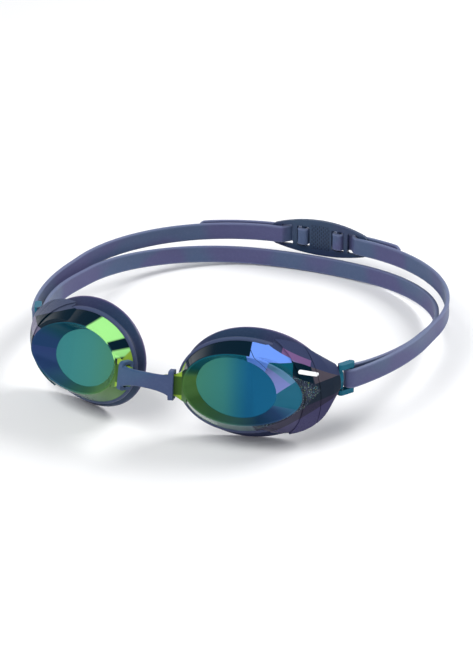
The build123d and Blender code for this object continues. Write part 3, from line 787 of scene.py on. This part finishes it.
def make_woven_length(side, level, section, material):
    """The strap through the clip, with a tongue that hides in the upper strand."""
    tongue = tongue_stations(CLIP_HALF + CLIP_TONGUE, CLIP_HALF + TONGUE_START, 0.0, UPPER_RISE)
    hidden = (CLIP_HALF + TONGUE_START / 2, CLIP_HALF + CLIP_TONGUE)
    weave = strap_skin(tongue + weave_stations(), section, hidden)
    piece(f"woven_length_{side}", weave, level, material, "clip", [f"strap_weave_{side}"])


def make_free_tail(side, level, section, material):
    """The free end past the fold, with a tongue that hides in the fold."""
    end = TAIL_END[side]
    hidden = (FOLD_END - TAIL_TONGUE, FOLD_END - TONGUE_START / 2)
    tail = strap_skin(tail_stations(end), section, hidden, end)
    piece(f"free_tail_{side}", tail, level, material, f"tail_{side}", [f"strap_tail_{side}"])


def make_straps(material):
    """Both halves of the strap."""
    section = strap_section()
    for side in SIDES:
        for make in (make_lower_strand, make_upper_strand, make_woven_length, make_free_tail):
            make(side, on_side(LEVEL, side), section, material)


def make_seals(material):
    """The two eye seals, each a closed skin with its marks running from front to back."""
    rings = [seal_ring(depth, long) for depth, long in SEAL_OUTSIDE]
    marks = [(depth - SEAL_FRONT) / SEAL_DEEP for depth, _ in SEAL_OUTSIDE]
    for side in SIDES:
        seal = skin(rings, marks, closed=True)
        piece(f"eye_cushion_{side}", seal, on_side(CUP, side), material, f"cup_{side}", [f"eye_seal_{side}"],
              sharp=75, smooth=1)


def dress(node, material):
    """Give a CAD node its material."""
    data = frame["nodes"][node]
    if not data.material_slots:
        data.data.materials.append(material)
    for slot in data.material_slots:
        slot.link = "OBJECT"
        slot.material = material


def make_materials():
    """Every material, and the CAD nodes that wear them."""
    strap = silicone("strap_silicone", srgb(75, 91, 123), srgb(83, 84, 123), srgb(112, 122, 152), strap_edges)
    seal = silicone("seal_silicone", srgb(32, 52, 78), srgb(42, 48, 80), srgb(82, 92, 124), seal_bands_and_painted_light)
    bridge = silicone("bridge_silicone", srgb(60, 84, 116), srgb(64, 78, 114), srgb(96, 112, 142))
    for side in SIDES:
        dress(f"lens_{side}", lens_material(side))
        dress(f"temple_trim_{side}", arm_material("temple_trim", side, 0.36))
        dress(f"temple_accent_{side}", arm_material("temple_accent", side, 0.28))
    dress("back_clip", clip_material())
    dress("nose_bridge", bridge)
    return strap, seal


# ---------------------------------------------------------------- stage
FLOOR_HALF = 4.0            # metres, as are all the lengths from here on, but for the camera's
CAMERA_AZIMUTH, CAMERA_ELEVATION, CAMERA_ROLL, CAMERA_DISTANCE = 26.86, 27.24, -2.48, 0.9009
CAMERA_LENS, CAMERA_SENSOR = 114.79, 36.0       # millimetres
AIM_BEHIND_BAR, AIM_BELOW_BAR = 0.0438, 0.0121
LIGHTS = (    # name, azimuth, elevation, distance, width, height, power, and whether reflections show it
    ("soft_box_back", 141, 42, 1.1, 0.55, 0.4, 9, True),
    ("soft_box_front", -35, 58, 1.6, 1.0, 1.0, 18, False))
SKY_STOPS = ((0.30, grey(1.0)), (0.52, (0.16, 0.17, 0.19, 1)))     # share of the height, and colour


def make_floor():
    """A pale sheet of paper to stand on."""
    mesh = bmesh.new()
    corners = ((-1, -1), (1, -1), (1, 1), (-1, 1))
    mesh.faces.new([mesh.verts.new((x * FLOOR_HALF, y * FLOOR_HALF, 0)) for x, y in corners])
    data = bpy.data.meshes.new("floor")
    mesh.to_mesh(data)
    mesh.free()
    floor = bpy.data.objects.new("floor", data)
    bpy.context.scene.collection.objects.link(floor)
    shader = Shader("floor_paper", Base_Color=grey(0.9), Roughness=0.9, Specular_IOR_Level=0.1)
    data.materials.append(shader.material)


def direction(azimuth, elevation):
    """From the object outwards: azimuth 0 is the front, 90 the wearer's left."""
    a, e = radians(azimuth), radians(elevation)
    return Vector((sin(a) * cos(e), -cos(a) * cos(e), sin(e)))


def make_camera():
    """The photo's view, aimed at a point inside the ring and placed from the left loop's bar."""
    bar = Vector(JOINTS["band_left_swivel"]["pos_m"])
    aim = Vector((0, bar.y + AIM_BEHIND_BAR, bar.z - AIM_BELOW_BAR))
    back = direction(CAMERA_AZIMUTH, CAMERA_ELEVATION)
    across = Vector((0, 0, 1)).cross(back).normalized()
    up, roll = back.cross(across), radians(CAMERA_ROLL)
    across, up = across * cos(roll) + up * sin(roll), up * cos(roll) - across * sin(roll)
    data = bpy.data.cameras.new("camera")
    data.lens, data.sensor_width = CAMERA_LENS, CAMERA_SENSOR
    data.clip_start, data.clip_end = 0.01, 30.0
    camera = bpy.data.objects.new("camera", data)
    place = Matrix.Translation(aim + back * CAMERA_DISTANCE)
    camera.matrix_world = place @ Matrix([across, up, back]).transposed().to_4x4()
    bpy.context.scene.collection.objects.link(camera)
    bpy.context.scene.camera = camera


def make_light(name, azimuth, elevation, distance, width, height, power, glossy):
    """A rectangular light that faces the middle of the object."""
    data = bpy.data.lights.new(name, "AREA")
    data.shape = "RECTANGLE"
    data.size, data.size_y, data.energy = width, height, power
    light = bpy.data.objects.new(name, data)
    toward = direction(azimuth, elevation)
    light.location = (CAD_LOW + CAD_HIGH) / 2 + toward * distance
    light.rotation_euler = toward.to_track_quat("Z", "Y").to_euler()
    light.visible_glossy = glossy
    bpy.context.scene.collection.objects.link(light)


def make_world():
    """White behind the object, and a darker light from overhead, so that glossy upper faces read dark."""
    world = bpy.data.worlds.new("studio")
    world.use_nodes = True
    bpy.context.scene.world = world
    nodes, link = world.node_tree.nodes, world.node_tree.links.new
    height = nodes.new("ShaderNodeSeparateXYZ")
    link(nodes.new("ShaderNodeTexCoord").outputs["Generated"], height.inputs[0])
    ramp = nodes.new("ShaderNodeValToRGB")
    link(height.outputs[2], ramp.inputs[0])
    for element, (position, colour) in zip(ramp.color_ramp.elements, SKY_STOPS):
        element.position, element.color = position, colour
    link(ramp.outputs[0], nodes["Background"].inputs[0])
    backdrop = nodes.new("ShaderNodeBackground")
    backdrop.inputs[0].default_value = grey(1.0)
    seen = nodes.new("ShaderNodeMixShader")
    link(nodes.new("ShaderNodeLightPath").outputs["Is Camera Ray"], seen.inputs[0])
    link(nodes["Background"].outputs[0], seen.inputs[1])
    link(backdrop.outputs[0], seen.inputs[2])
    link(seen.outputs[0], nodes["World Output"].inputs[0])


def make_stage():
    """Floor, camera, world and lights."""
    make_floor()
    make_camera()
    make_world()
    for light in LIGHTS:
        make_light(*light)
    bpy.context.scene.view_settings.view_transform = "Standard"


strap_material, seal_material = make_materials()
make_straps(strap_material)
make_seals(seal_material)
make_stage()
